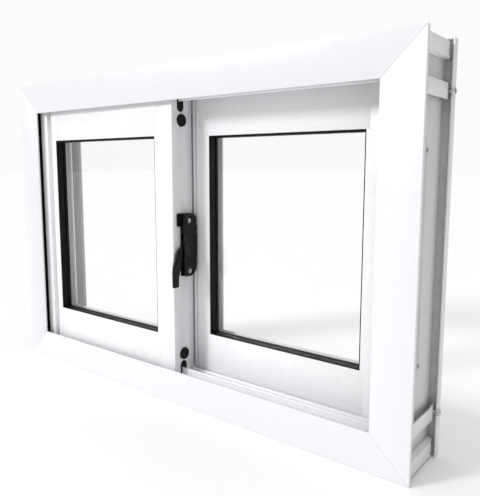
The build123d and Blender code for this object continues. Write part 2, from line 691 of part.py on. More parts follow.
def latch_case():
    x = (STILE_MEET, LATCH_OUT)
    shell = yz_prism(case_outline(0), x)
    hollow = yz_prism(case_outline(-LATCH_WALL), (x[0] + 1.2, x[1] - LATCH_WALL))
    body = shell - hollow
    body += block((x[0], x[0] + 2.0), (14.6, LATCH_FRONT + 1), (213.8, LATCH_HIGH))
    for z in LATCH_SCREWS:
        body += rod_x((x[0], x[1] - 0.4), LATCH_SCREW_DEPTH, z, 4.4)
        body -= rod_x((x[0] - 1, x[1] + 1), LATCH_SCREW_DEPTH, z, SCREW_CORE + SCREW_PLAY)
        body -= rod_x((x[1] - 2.6, x[1] + 1), LATCH_SCREW_DEPTH, z, 3.7)
    slot_x = (LEVER_X[0] - LEVER_GAP, LEVER_X[1] + LEVER_GAP)
    lever_gap = block(slot_x, (LATCH_FRONT - 1, LATCH_FRONT + 6), (LATCH_LOW - 1, 205.5))
    hook_gap = block(slot_x, (LATCH_BACK - 4, LATCH_BACK + 1), (183.0, 208.5))
    body = body - lever_gap - hook_gap
    pin_hole = rod_x((x[0] - 1, x[1] + 1), PIVOT_DEPTH, PIVOT_HEIGHT, PIN_RADIUS)
    return body - pin_hole


def latch_lever():
    """Comma-shaped lever: hub, hook above it at the back, arm and tail in front."""
    hub = rod_x(LEVER_X, PIVOT_DEPTH, PIVOT_HEIGHT, HUB_RADIUS)
    arm = yz_prism([(PIVOT_DEPTH - 4.5, PIVOT_HEIGHT + 2.5), (22.0, 199.0), (17.5, 196.0),
                    (10.2, 185.0), (6.2, 172.5), (5.0, 163.0), (5.0, 156.0), (14.0, 156.0),
                    (15.0, 166.0), (19.5, 176.0), (PIVOT_DEPTH - 2.0, PIVOT_HEIGHT - 4.5)], LEVER_X)
    tail = yz_prism([(5.0, 157.0), (5.2, 141.2), (13.2, 141.0), (14.0, 157.0)], LEVER_X)
    hook = yz_prism([(PIVOT_DEPTH - 1.0, PIVOT_HEIGHT + 4.6), (PIVOT_DEPTH + 4.4, PIVOT_HEIGHT + 12.0),
                     (PIVOT_DEPTH + 9.0, PIVOT_HEIGHT + 9.4), (PIVOT_DEPTH + 9.2, PIVOT_HEIGHT + 6.4),
                     (PIVOT_DEPTH + 4.2, PIVOT_HEIGHT + 1.5)], LEVER_X)
    body = hub + arm + tail + hook
    return body - rod_x((LEVER_X[0] - 1, LEVER_X[1] + 1), PIVOT_DEPTH, PIVOT_HEIGHT,
                        PIN_RADIUS + PIN_PLAY)


def latch_spring():
    """Wire ring beside the hub that keeps the lever down."""
    ring = rod_x((LEVER_X[1] + 0.3, LEVER_X[1] + 1.0), PIVOT_DEPTH, PIVOT_HEIGHT, 4.0)
    bore = rod_x((LEVER_X[1], LEVER_X[1] + 2.0), PIVOT_DEPTH, PIVOT_HEIGHT, 2.9)
    leg = block((LEVER_X[1] + 0.3, LEVER_X[1] + 1.0), (PIVOT_DEPTH + 3.1, PIVOT_DEPTH + 3.9),
                (PIVOT_HEIGHT - 14, PIVOT_HEIGHT))
    return ring - bore + leg


def make_latch():
    save("latch_case", latch_case())
    save("latch_lever", latch_lever())
    save("latch_pin", rod_x((STILE_MEET, LATCH_OUT + 0.3), PIVOT_DEPTH, PIVOT_HEIGHT, PIN_RADIUS))
    save("latch_spring", latch_spring())
    screw = pan_screw(9.0, SCREW_CORE, 3.4, 1.8)
    screws = []
    for z in LATCH_SCREWS:
        place = Pos(LATCH_OUT - 2.6, LATCH_SCREW_DEPTH - DEPTH / 2, z)
        screws.append(place * Rot(0, 90, 0) * screw)
    save("latch_screws", *screws)


def keeper():
    """Steel angle in the rear meeting stile's step; the hook pulls against its leg."""
    floor = REAR_FACE + REAR_STEP
    flange = block(KEEPER_X, (floor - KEEPER_WALL, floor), KEEPER_Z)
    leg = block((KEEPER_X[1] - KEEPER_WALL, KEEPER_X[1]), (KEEPER_LEG_TIP, floor), KEEPER_LEG)
    body = flange + leg
    for z in KEEPER_SCREWS:
        body -= rod_y(KEEPER_SCREW_X, (floor - 3, floor + 1), z, KEEPER_SCREW_RADII[1])
    return body


def keeper_recess():
    """The break in the stile's lip where the keeper sits, and its two screw holes."""
    play = 0.15
    floor = REAR_FACE + REAR_STEP
    span = (KEEPER_Z[0] - play, KEEPER_Z[1] + play)
    recess = block(KEEPER_X, (REAR_FACE - 1, floor), span)
    for z in KEEPER_SCREWS:
        recess += rod_y(KEEPER_SCREW_X, (floor - 1, floor + WALL + 1), z, KEEPER_SCREW_RADII[0])
    return recess


def make_keeper():
    save("keeper", keeper())
    floor = REAR_FACE + REAR_STEP
    screws = []
    for z in KEEPER_SCREWS:
        head = rod_y(KEEPER_SCREW_X, (floor - KEEPER_WALL, floor), z, KEEPER_SCREW_RADII[1])
        shank = rod_y(KEEPER_SCREW_X, (floor - 0.1, floor + 6), z, KEEPER_SCREW_RADII[0])
        screws.append(head + shank)
    save("keeper_screws", *screws)


def interlock_pile():
    """Brush strip on the rear fin that brushes the front one."""
    return block((REAR_FIN_X[1], -STILE_MEET), (38.6, 41.4), (HOOK_LOW + 1, HEIGHT - HOOK_LOW - 1))


os.makedirs(PARTS, exist_ok=True)
make_trims()
make_frame()
make_straps()
make_seals()
make_sash("front", keep_in_place, FRONT_PILE_DEPTH, JAMB_LIPS[0], True)
make_sash("rear", to_rear_track, REAR_PILE_DEPTH, JAMB_LIPS[1], False)
save("front_sash_meeting_stile", front_meeting_stile())
save("rear_sash_meeting_stile", rear_meeting_stile())
front_plugs = [plug(STILE_MEET, PLUG_HIGH, 1), plug(STILE_MEET, PLUG_LOW, 1)]
side_plugs = [flush_plug(PLUG_HIGH), flush_plug(PLUG_LOW)]
save("front_sash_hole_plugs", *front_plugs, *side_plugs)
save("rear_sash_hole_plugs", *[to_rear_track(piece) for piece in front_plugs + side_plugs])
save("interlock_pile", interlock_pile())
make_latch()
make_keeper()
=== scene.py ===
import json
import math

import bpy
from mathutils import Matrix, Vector


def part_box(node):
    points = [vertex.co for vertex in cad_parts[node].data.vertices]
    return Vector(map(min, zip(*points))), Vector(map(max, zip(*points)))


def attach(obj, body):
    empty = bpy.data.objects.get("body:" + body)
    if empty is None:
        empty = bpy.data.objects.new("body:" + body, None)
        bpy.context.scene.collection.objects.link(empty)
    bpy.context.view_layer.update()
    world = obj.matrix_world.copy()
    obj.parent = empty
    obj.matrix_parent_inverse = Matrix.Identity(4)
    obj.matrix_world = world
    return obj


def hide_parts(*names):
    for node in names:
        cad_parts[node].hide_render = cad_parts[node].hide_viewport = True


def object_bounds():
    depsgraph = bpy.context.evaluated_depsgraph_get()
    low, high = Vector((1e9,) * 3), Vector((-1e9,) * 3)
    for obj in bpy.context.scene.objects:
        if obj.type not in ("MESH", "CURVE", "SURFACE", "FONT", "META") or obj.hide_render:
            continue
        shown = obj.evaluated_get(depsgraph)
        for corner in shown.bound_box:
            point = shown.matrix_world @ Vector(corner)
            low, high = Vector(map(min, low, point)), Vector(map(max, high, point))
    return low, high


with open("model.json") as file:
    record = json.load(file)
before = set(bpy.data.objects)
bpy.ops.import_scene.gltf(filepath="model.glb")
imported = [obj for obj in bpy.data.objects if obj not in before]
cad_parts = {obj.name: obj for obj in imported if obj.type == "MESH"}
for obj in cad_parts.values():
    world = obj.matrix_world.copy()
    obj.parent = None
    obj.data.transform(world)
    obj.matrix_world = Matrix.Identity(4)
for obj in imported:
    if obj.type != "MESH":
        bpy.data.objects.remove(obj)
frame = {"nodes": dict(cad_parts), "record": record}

bl_info = {
    "name": "Sliding Window Finish",
    "version": (1, 0, 0),
    "blender": (4, 5, 0),
    "location": "View3D > Sidebar > Window",
    "description": "Edges, seals, latch, glass and finishes for a two-track sliding window",
    "category": "Object",
}

CAD_BOX = [list(corner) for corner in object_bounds()]
MM = 0.001
MERGE_DISTANCE = 0.002 * MM
FACING = 0.9  # the least share of a face's normal along an axis for it to face that way
ROD_SIDES = 40
BODY_OF = {node: body for body, nodes in frame["record"]["behaviour"]["bodies"].items()
           for node in nodes}


# ---- settings -------------------------------------------------------------------------
class ProfileSettings(bpy.types.PropertyGroup):
    """Coated metal profiles and sheet parts."""
    trim_edge: bpy.props.FloatProperty(
        name="Trim edge radius", description="Rounding of the mitred trims' edges",
        default=0.25 * MM, min=0.0, unit="LENGTH")
    profile_edge: bpy.props.FloatProperty(
        name="Profile edge radius", description="Rounding of the sash and frame profiles' edges",
        default=0.25 * MM, min=0.0, unit="LENGTH")
    sheet_edge: bpy.props.FloatProperty(
        name="Sheet edge radius", description="Rounding of the straps' edges",
        default=0.2 * MM, min=0.0, unit="LENGTH")
    # Trims and sashes bear the same white coating. The trims get a darker colour and the sashes, head and
    # sill a lighter one, so that the recessed, less lit sashes match the brightly lit trims: painted shade
    # and painted light.
    trim_colour_with_painted_shade: bpy.props.FloatVectorProperty(
        name="Trim colour", description="Coating on the trims",
        subtype="COLOR", size=3, min=0.0, max=1.0, default=(0.80, 0.802, 0.827))
    sash_colour_with_painted_light: bpy.props.FloatVectorProperty(
        name="Sash colour", description="Coating on stiles, rails, head and sill",
        subtype="COLOR", size=3, min=0.0, max=1.0, default=(0.885, 0.888, 0.905))
    # Darker than the other profiles' coat: painted shade on the recessed jamb webs.
    jamb_colour_with_painted_shade: bpy.props.FloatVectorProperty(
        name="Jamb colour", description="Coating on the jambs",
        subtype="COLOR", size=3, min=0.0, max=1.0, default=(0.68, 0.68, 0.67))
    sheet_colour: bpy.props.FloatVectorProperty(
        name="Sheet colour", description="Coating on straps and end plates",
        subtype="COLOR", size=3, min=0.0, max=1.0, default=(0.82, 0.82, 0.81))
    mitre_gap: bpy.props.FloatProperty(
        name="Mitre gap", description="Half of the fine gap between two trims at a corner",
        default=0.05 * MM, min=0.0, unit="LENGTH")


class SealSettings(bpy.types.PropertyGroup):
    """Rubber and brush seals."""
    rubber_colour: bpy.props.FloatVectorProperty(
        name="Rubber colour", description="Gaskets and jamb seals",
        subtype="COLOR", size=3, min=0.0, max=1.0, default=(0.003, 0.003, 0.0035))
    lip_widths: bpy.props.FloatVectorProperty(
        name="Gasket widths", description="Gasket shown at the sides, below and above each pane",
        size=3, min=0.0, unit="LENGTH", default=(1.6 * MM, 1.2 * MM, 2.4 * MM))
    seal_edge: bpy.props.FloatProperty(
        name="Seal edge radius", description="Rounding of the jamb seals' edges",
        default=0.35 * MM, min=0.0, unit="LENGTH")
    pile_colour: bpy.props.FloatVectorProperty(
        name="Pile colour", description="Brush strips",
        subtype="COLOR", size=3, min=0.0, max=1.0, default=(0.22, 0.22, 0.23))


class LatchSettings(bpy.types.PropertyGroup):
    """Latch, plugs and other black parts."""
    latch_colour: bpy.props.FloatVectorProperty(
        name="Latch colour", description="Satin coating on case and lever",
        subtype="COLOR", size=3, min=0.0, max=1.0, default=(0.0035, 0.0035, 0.004))
    nylon_colour: bpy.props.FloatVectorProperty(
        name="Nylon colour", description="Plugs, guides, stops and rollers",
        subtype="COLOR", size=3, min=0.0, max=1.0, default=(0.0035, 0.0035, 0.004))


class StudioSettings(bpy.types.PropertyGroup):
    """Floor, light and camera."""
    floor_colour: bpy.props.FloatVectorProperty(
        name="Floor colour", description="Pale studio floor",
        subtype="COLOR", size=3, min=0.0, max=1.0, default=(0.93, 0.93, 0.93))
    sky: bpy.props.FloatProperty(
        name="Surround light", description="Strength of the even light from all round",
        default=0.40, min=0.0)
    backdrop: bpy.props.FloatProperty(
        name="Backdrop", description="Brightness of the white surround where it is seen",
        default=0.97, min=0.0)
    key: bpy.props.FloatProperty(
        name="Key light", description="Strength of the broad light from the front left",
        default=1.70, min=0.0)
    fill: bpy.props.FloatProperty(
        name="Fill light", description="Strength of the weak light from the right",
        default=0.10, min=0.0)
    overhead: bpy.props.FloatProperty(
        name="Overhead light", description="Strength of the very soft light from above",
        default=1.42, min=0.0)


# ---- modelling helpers ------------------------------------------------------------------
def deselect():
    if bpy.context.object is not None and bpy.context.object.mode != "OBJECT":
        bpy.ops.object.mode_set(mode="OBJECT")
    bpy.ops.object.select_all(action="DESELECT")


def pick(piece):
    deselect()
    piece.select_set(True)
    bpy.context.view_layer.objects.active = piece


def apply_modifier(piece, kind, **values):
    """Adds a modifier and applies it at once; the piece is left picked."""
    pick(piece)
    modifier = piece.modifiers.new(kind.title(), kind)
    for key, value in values.items():
        setattr(modifier, key, value)
    bpy.ops.object.modifier_apply(modifier=modifier.name)


def settle(piece):
    """Puts a finished piece's place into its mesh."""
    pick(piece)
    bpy.ops.object.transform_apply(location=True, rotation=True, scale=True)


def merged_copy(node, name):
    """A copy of a frame node with its loose triangles joined into clean faces."""
    piece = bpy.data.objects.new(name, frame["nodes"][node].data.copy())
    bpy.context.scene.collection.objects.link(piece)
    pick(piece)
    bpy.ops.object.mode_set(mode="EDIT")
    bpy.ops.mesh.select_all(action="SELECT")
    bpy.ops.mesh.remove_doubles(threshold=MERGE_DISTANCE)
    bpy.ops.mesh.dissolve_limited(angle_limit=math.radians(1.0))
    bpy.ops.object.mode_set(mode="OBJECT")
    return piece


def round_edges(piece, radius, segments=2, limit=30):
    """Rounds every edge sharper than a limit in degrees."""
    apply_modifier(piece, "BEVEL", width=radius, segments=segments, limit_method="ANGLE",
                   angle_limit=math.radians(limit))
    bpy.ops.object.shade_smooth_by_angle(angle=math.radians(40))


def finish_piece(piece, node, material):
    """Gives a piece its coat and its body, in place of the frame node it stands for."""
    piece.data.materials.clear()
    piece.data.materials.append(material)
    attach(piece, BODY_OF[node])
    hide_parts(node)


def coat_node(node, material):
    """A frame node kept as it is, with a better material."""
    kept = frame["nodes"][node]
    if not kept.material_slots:
        kept.data.materials.append(material)
    for slot in kept.material_slots:
        slot.material = material


def nodes_like(*words):
    """Frame nodes whose names hold any of the words, in order of name."""
    return [node for node in sorted(BODY_OF) if any(word in node for word in words)]


def select_where(piece, kind, test):
    """Selects edges or faces by a test on their middle and their direction, and stays in edit mode."""
    pick(piece)
    bpy.ops.object.mode_set(mode="EDIT")
    bpy.ops.mesh.select_mode(type=kind)
    bpy.ops.mesh.select_all(action="DESELECT")
    bpy.ops.object.mode_set(mode="OBJECT")
    mesh = piece.data
    if kind == "FACE":
        for face in mesh.polygons:
            face.select = test(face.center, face.normal)
    else:
        for edge in mesh.edges:
            ends = [mesh.vertices[index].co for index in edge.vertices]
            edge.select = test((ends[0] + ends[1]) / 2, (ends[1] - ends[0]).normalized())
    bpy.ops.object.mode_set(mode="EDIT")


def slab(name, low, high):
    """A box between two corners, ready to be shaped."""
    deselect()
    middle = [(a + b) / 2 for a, b in zip(low, high)]
    bpy.ops.mesh.primitive_cube_add(size=1.0, location=middle)
    piece = bpy.context.object
    piece.name = name
    piece.scale = [b - a for a, b in zip(low, high)]
    settle(piece)
    return piece


def rod(name, start, end, axis, radius):
    """A rod along X from start to end, about an axis at a place in Y and Z."""
    deselect()
    bpy.ops.mesh.primitive_cylinder_add(vertices=ROD_SIDES, radius=radius, depth=end - start,
                                        location=((start + end) / 2, *axis),
                                        rotation=(0.0, math.radians(90), 0.0))
    piece = bpy.context.object
    piece.name = name
    settle(piece)
    return piece


def combine(piece, tool, operation="DIFFERENCE"):
    """Cuts a tool out of a piece, or welds it on, and removes the tool."""
    apply_modifier(piece, "BOOLEAN", operation=operation, solver="EXACT", object=tool)
    bpy.data.objects.remove(tool)


def round_corner(piece, depth, height, radius, segments=8):
    """Rounds the one edge along X that runs through a given depth and height."""
    near = 0.05 * MM
    select_where(piece, "EDGE", lambda middle, way: abs(abs(way.x) - 1) < 0.01
                 and abs(middle.y - depth) < near and abs(middle.z - height) < near)
    bpy.ops.mesh.bevel(offset=radius, segments=segments, affect="EDGES")
    bpy.ops.object.mode_set(mode="OBJECT")


def mitred_ring(name, loops):
    """A closed ring swept through rectangles, each (left, right, low, high, depth)."""
    def centre(loop):
        return Vector(((loop[0] + loop[1]) / 2, loop[4], (loop[2] + loop[3]) / 2))

    first = loops[0]
    deselect()
    bpy.ops.mesh.primitive_plane_add(size=1.0, location=centre(first), rotation=(math.radians(90), 0, 0))
    piece = bpy.context.object
    piece.name = name
    piece.scale = (first[1] - first[0], first[3] - first[2], 1.0)
    settle(piece)
    bpy.ops.object.mode_set(mode="EDIT")
    bpy.ops.mesh.select_mode(type="EDGE")
    bpy.ops.mesh.select_all(action="SELECT")
    bpy.ops.mesh.delete(type="ONLY_FACE")
    bpy.ops.mesh.select_all(action="SELECT")
    for before, after in zip(loops, loops[1:]):
        bpy.ops.mesh.extrude_edges_move(TRANSFORM_OT_translate={"value": centre(after) - centre(before)})
        grow = ((after[1] - after[0]) / (before[1] - before[0]), 1.0,
                (after[3] - after[2]) / (before[3] - before[2]))
        bpy.ops.transform.resize(value=grow, center_override=centre(after))
    bpy.ops.mesh.select_all(action="DESELECT")
    bpy.ops.mesh.select_non_manifold()
    bpy.ops.mesh.bridge_edge_loops()
    bpy.ops.mesh.select_all(action="SELECT")
    bpy.ops.mesh.normals_make_consistent(inside=False)
    bpy.ops.object.mode_set(mode="OBJECT")
    bpy.ops.object.shade_smooth_by_angle(angle=math.radians(35))
    return piece


# ---- shader groups -----------------------------------------------------------------------
DULL_WHITE = (0.55, 0.56, 0.58, 1.0)
SPECK_BROWN = (0.30, 0.29, 0.27, 1.0)
# Grey for the painted shade in hollows and the dusty grime mixed into it.
GRIME_AND_SHADE_GREY = (0.33, 0.32, 0.30, 1.0)
BARE_METAL = (0.62, 0.62, 0.63, 1.0)


def built_once(build):
    """Makes a function build its material or group at the first call and share it after."""
    made = {}

    def find(*values, **options):
        key = values[0] if values else build.__name__
        if key not in made:
            made[key] = build(*values, **options)
        return made[key]
    return find


def feed(tree, socket, value):
    """Links a value that comes from another node, and sets any other."""
    if isinstance(value, bpy.types.NodeSocket):
        tree.links.new(value, socket)
    else:
        socket.default_value = value


def add_node(tree, kind, **values):
    node = tree.nodes.new(kind)
    for key, value in values.items():
        setattr(node, key, value)
    return node


def noise(tree, vector, scale, detail=3.0, roughness=0.55):
    node = add_node(tree, "ShaderNodeTexNoise")
    feed(tree, node.inputs["Vector"], vector)
    feed(tree, node.inputs["Scale"], scale)
    feed(tree, node.inputs["Detail"], detail)
    feed(tree, node.inputs["Roughness"], roughness)
    return node.outputs["Fac"]


def remap(tree, value, low, high, to_low=0.0, to_high=1.0):
    """Takes the range from low to high onto another, and stops at its ends."""
    node = add_node(tree, "ShaderNodeMapRange", clamp=True)
    for label, number in (("Value", value), ("From Min", low), ("From Max", high),
                          ("To Min", to_low), ("To Max", to_high)):
        feed(tree, node.inputs[label], number)
    return node.outputs["Result"]


def math_node(tree, operation, first, second):
    node = add_node(tree, "ShaderNodeMath", operation=operation)
    feed(tree, node.inputs[0], first)
    feed(tree, node.inputs[1], second)
    return node.outputs[0]


def blend_colour(tree, factor, first, second):
    node = add_node(tree, "ShaderNodeMix", data_type="RGBA")
    for index, value in ((0, factor), (6, first), (7, second)):
        feed(tree, node.inputs[index], value)
    return node.outputs[2]


def shader_group(name, inputs, outputs):
    tree = bpy.data.node_groups.new(name, "ShaderNodeTree")
    for label, kind, value in inputs:
        socket = tree.interface.new_socket(label, in_out="INPUT", socket_type=kind)
        socket.default_value = value
    for label, kind in outputs:
        tree.interface.new_socket(label, in_out="OUTPUT", socket_type=kind)
    return tree, tree.nodes.new("NodeGroupInput").outputs, tree.nodes.new("NodeGroupOutput").inputs


@built_once
def coating_group():
    """Sprayed and baked coating: faint tone drift, orange peel and fine specks."""
    tree, given, result = shader_group(
        "Coating",
        [("Vector", "NodeSocketVector", (0, 0, 0)), ("Colour", "NodeSocketColor", (0.8, 0.8, 0.8, 1)),
         ("Peel", "NodeSocketFloat", 1100.0), ("Drift", "NodeSocketFloat", 0.03),
         ("Specks", "NodeSocketFloat", 0.06)],
        [("Colour", "NodeSocketColor"), ("Roughness", "NodeSocketFloat"), ("Height", "NodeSocketFloat")])
    place = given["Vector"]
    tone = remap(tree, noise(tree, place, 14.0, 4.0), 0.35, 0.7)
    tone = math_node(tree, "MULTIPLY", tone, given["Drift"])
    speck = remap(tree, noise(tree, place, 420.0, 2.0), 0.70, 0.76)
    speck = math_node(tree, "MULTIPLY", speck, given["Specks"])
    shade = blend_colour(tree, tone, given["Colour"], DULL_WHITE)
    shade = blend_colour(tree, speck, shade, SPECK_BROWN)
    gloss = remap(tree, noise(tree, place, 60.0, 5.0), 0.3, 0.75, 0.30, 0.44)
    feed(tree, result["Colour"], shade)
    feed(tree, result["Roughness"], gloss)
    feed(tree, result["Height"], noise(tree, place, given["Peel"], 1.5, 0.5))
    return tree


@built_once
def corner_grime_and_shade_group():
    """Painted shade and patchy, dusty grime that gather where surfaces meet, and wear on sharp outer edges.
    """
    tree, given, result = shader_group(
        "Corner Dust",
        [("Vector", "NodeSocketVector", (0, 0, 0)), ("Colour", "NodeSocketColor", (0.8, 0.8, 0.8, 1)),
         ("Dust", "NodeSocketFloat", 0.3), ("Wear", "NodeSocketFloat", 0.1),
         ("Reach", "NodeSocketFloat", 4 * MM)],
        [("Colour", "NodeSocketColor")])
    # The ambient-occlusion mask darkens hollows within the reach: painted shade, broken up by noise to read
    # as dusty grime as well.
    hollow = add_node(tree, "ShaderNodeAmbientOcclusion", samples=6, only_local=False)
    feed(tree, hollow.inputs["Distance"], given["Reach"])
    deep = remap(tree, hollow.outputs["AO"], 0.75, 0.15)
    patchy = remap(tree, noise(tree, given["Vector"], 90.0, 4.0), 0.3, 0.7, 0.5, 1.0)
    grime_and_shade = math_node(tree, "MULTIPLY", math_node(tree, "MULTIPLY", deep, patchy), given["Dust"])
    shade = blend_colour(tree, grime_and_shade, given["Colour"], GRIME_AND_SHADE_GREY)
    form = add_node(tree, "ShaderNodeNewGeometry")
    sharp = remap(tree, form.outputs["Pointiness"], 0.53, 0.60)
    rub = remap(tree, noise(tree, given["Vector"], 150.0, 4.0), 0.5, 0.65)
    wear = math_node(tree, "MULTIPLY", math_node(tree, "MULTIPLY", sharp, rub), given["Wear"])
    feed(tree, result["Colour"], blend_colour(tree, wear, shade, BARE_METAL))
    return tree


@built_once
def grain_group():
    """Fine lines along one direction, as dies, brushes and moulds leave them."""
    tree, given, result = shader_group(
        "Drawn Grain",
        [("Vector", "NodeSocketVector", (0, 0, 0)), ("Stretch", "NodeSocketVector", (1, 1, 1)),
         ("Scale", "NodeSocketFloat", 900.0)],
        [("Value", "NodeSocketFloat")])
    spread = add_node(tree, "ShaderNodeVectorMath", operation="MULTIPLY")
    feed(tree, spread.inputs[0], given["Vector"])
    feed(tree, spread.inputs[1], given["Stretch"])
    feed(tree, result["Value"], noise(tree, spread.outputs[0], given["Scale"], 3.0, 0.5))
    return tree


def group_node(tree, group, **values):
    """Places a shared group in a material, with the material's own values."""
    node = add_node(tree, "ShaderNodeGroup", node_tree=group())
    for key, value in values.items():
        feed(tree, node.inputs[key], value)
    return node.outputs


def new_material(name, **values):
    """A Principled material and the Object coordinates that its patterns follow."""
    material = bpy.data.materials.new(name)
    material.use_nodes = True
    tree = material.node_tree
    shader = tree.nodes["Principled BSDF"]
    for label, value in values.items():
        shader.inputs[label.replace("_", " ")].default_value = value
    place = add_node(tree, "ShaderNodeTexCoord").outputs["Object"]
    return material, tree, shader, place


def bump(tree, shader, height, strength, distance):
    node = add_node(tree, "ShaderNodeBump")
    feed(tree, node.inputs["Strength"], strength)
    feed(tree, node.inputs["Distance"], distance)
    feed(tree, node.inputs["Height"], height)
    feed(tree, shader.inputs["Normal"], node.outputs["Normal"])


# ---- materials ---------------------------------------------------------------------------
LEVEL = (0.02, 1.0, 1.0)
UPRIGHT = (1.0, 1.0, 0.02)
ACROSS = (1.0, 0.03, 1.0)
EVEN = (1.0, 1.0, 1.0)
RUBBER_BLOOM = (0.012, 0.012, 0.013, 1.0)
ZINC_BRIGHT = (0.66, 0.66, 0.65, 1.0)
ZINC_DULL = (0.50, 0.50, 0.50, 1.0)
GLASS_GREEN = (0.985, 0.995, 0.99, 1.0)
GLASS_CLEAR = (0.995, 1.0, 0.998, 1.0)


@built_once
def coated(name, colour, stretch, grime_and_shade=0.35, wear=0.15, drift=0.03, reach=4 * MM):
    """White coated aluminium; stretch draws its grain out along the profile."""
    material, tree, shader, place = new_material(name, Specular_IOR_Level=0.5)
    coat = group_node(tree, coating_group, Vector=place, Colour=(*colour, 1.0), Drift=drift)
    # Corner darkening: painted shade in hollows, with patchy dusty grime.
    corners = group_node(tree, corner_grime_and_shade_group, Vector=place, Colour=coat["Colour"],
                         Dust=grime_and_shade, Wear=wear, Reach=reach)
    grain = group_node(tree, grain_group, Vector=place, Stretch=stretch, Scale=700.0)
    lines = math_node(tree, "MULTIPLY", grain["Value"], 0.35)
    feed(tree, shader.inputs["Base Color"], corners["Colour"])
    feed(tree, shader.inputs["Roughness"], coat["Roughness"])
    bump(tree, shader, math_node(tree, "ADD", coat["Height"], lines), 0.12, 0.02 * MM)
    return material


def coat_of(node):
    """The coating of a white node, with its grain along the profile."""
    settings = bpy.context.scene.window_profiles
    if "strap" in node or "end_plate" in node:
        return coated("sheet_white", settings.sheet_colour, ACROSS, grime_and_shade=0.3, wear=0.4, drift=0.06)
    if node.startswith("jamb_"):
        # The jambs' darker coat and their wide, strong corner darkening are painted shade on the webs
        # between straps and end plates.
        return coated("jamb_white", settings.jamb_colour_with_painted_shade, UPRIGHT, grime_and_shade=0.85, drift=0.05, reach=30 * MM)
    upright = any(word in node for word in ("left", "right", "stile"))
    label, grain = ("upright", UPRIGHT) if upright else ("level", LEVEL)
    # Trim and sash coats differ only as painted shade and painted light on one white coating.
    if "_trim_" in node:
        return coated("trim_white_" + label, settings.trim_colour_with_painted_shade, grain)
    return coated("sash_white_" + label, settings.sash_colour_with_painted_light, grain, grime_and_shade=0.25)


@built_once
def rubber():
    """Black extruded rubber with a faint pale bloom."""
    colour = bpy.context.scene.window_seals.rubber_colour
    material, tree, shader, place = new_material("rubber", Specular_IOR_Level=0.2)
    bloom = remap(tree, noise(tree, place, 35.0, 5.0), 0.4, 0.75, 0.0, 0.5)
    shade = blend_colour(tree, bloom, (*colour, 1.0), RUBBER_BLOOM)
    corners = group_node(tree, corner_grime_and_shade_group, Vector=place, Colour=shade, Dust=0.01, Wear=0.0)
    lines = group_node(tree, grain_group, Vector=place, Stretch=EVEN, Scale=1500.0)
    gloss = remap(tree, noise(tree, place, 200.0), 0.3, 0.7, 0.42, 0.6)
    feed(tree, shader.inputs["Base Color"], corners["Colour"])
    feed(tree, shader.inputs["Roughness"], gloss)
    bump(tree, shader, lines["Value"], 0.3, 0.03 * MM)
    return material


@built_once
def black_part(name, colour, low, high, peel, wear):
    """Satin black, coated metal or moulded nylon, with its roughness from low to high."""
    material, tree, shader, place = new_material(name, Specular_IOR_Level=0.22)
    coat = group_node(tree, coating_group, Vector=place, Colour=(*colour, 1.0),
                      Peel=peel, Drift=0.002, Specks=0.006)
    corners = group_node(tree, corner_grime_and_shade_group, Vector=place, Colour=coat["Colour"], Dust=0.008, Wear=wear)
    feed(tree, shader.inputs["Base Color"], corners["Colour"])
    feed(tree, shader.inputs["Roughness"], remap(tree, noise(tree, place, 120.0, 4.0), 0.3, 0.7, low, high))
    bump(tree, shader, coat["Height"], 0.25, 0.05 * MM)
    return material


def latch_black():
    return black_part("latch_black", bpy.context.scene.window_latch.latch_colour, 0.36, 0.50, 1600.0, 0.03)


def nylon_black():
    return black_part("nylon_black", bpy.context.scene.window_latch.nylon_colour, 0.40, 0.55, 900.0, 0.01)


@built_once
def zinc():
    """Zinc plate, patchy and finely scratched."""
    material, tree, shader, place = new_material("zinc", Metallic=1.0)
    patch = remap(tree, noise(tree, place, 260.0, 4.0), 0.35, 0.7)
    shade = blend_colour(tree, patch, ZINC_BRIGHT, ZINC_DULL)
    corners = group_node(tree, corner_grime_and_shade_group, Vector=place, Colour=shade, Dust=0.5, Wear=0.2)
    scratches = group_node(tree, grain_group, Vector=place, Stretch=(1.0, 0.1, 1.0), Scale=2200.0)
    gloss = remap(tree, noise(tree, place, 500.0), 0.3, 0.7, 0.24, 0.42)
    feed(tree, shader.inputs["Base Color"], corners["Colour"])
    feed(tree, shader.inputs["Roughness"], gloss)
    bump(tree, shader, scratches["Value"], 0.3, 0.02 * MM)
    return material


@built_once
def pile_fibre():
    """Grey brush fibre, with painted shade between its strands."""
    colour = bpy.context.scene.window_seals.pile_colour
    material, tree, shader, place = new_material("pile", Roughness=0.9, Sheen_Weight=0.4)
    strands = noise(tree, place, 2600.0, 2.0)
    # Half as bright between the strands: painted shade in the gaps.
    shade_between_strands = (*[part * 0.5 for part in colour], 1.0)
    shade = blend_colour(tree, remap(tree, strands, 0.3, 0.7), shade_between_strands, (*colour, 1.0))
    feed(tree, shader.inputs["Base Color"], shade)
    bump(tree, shader, strands, 0.8, 0.2 * MM)
    return material


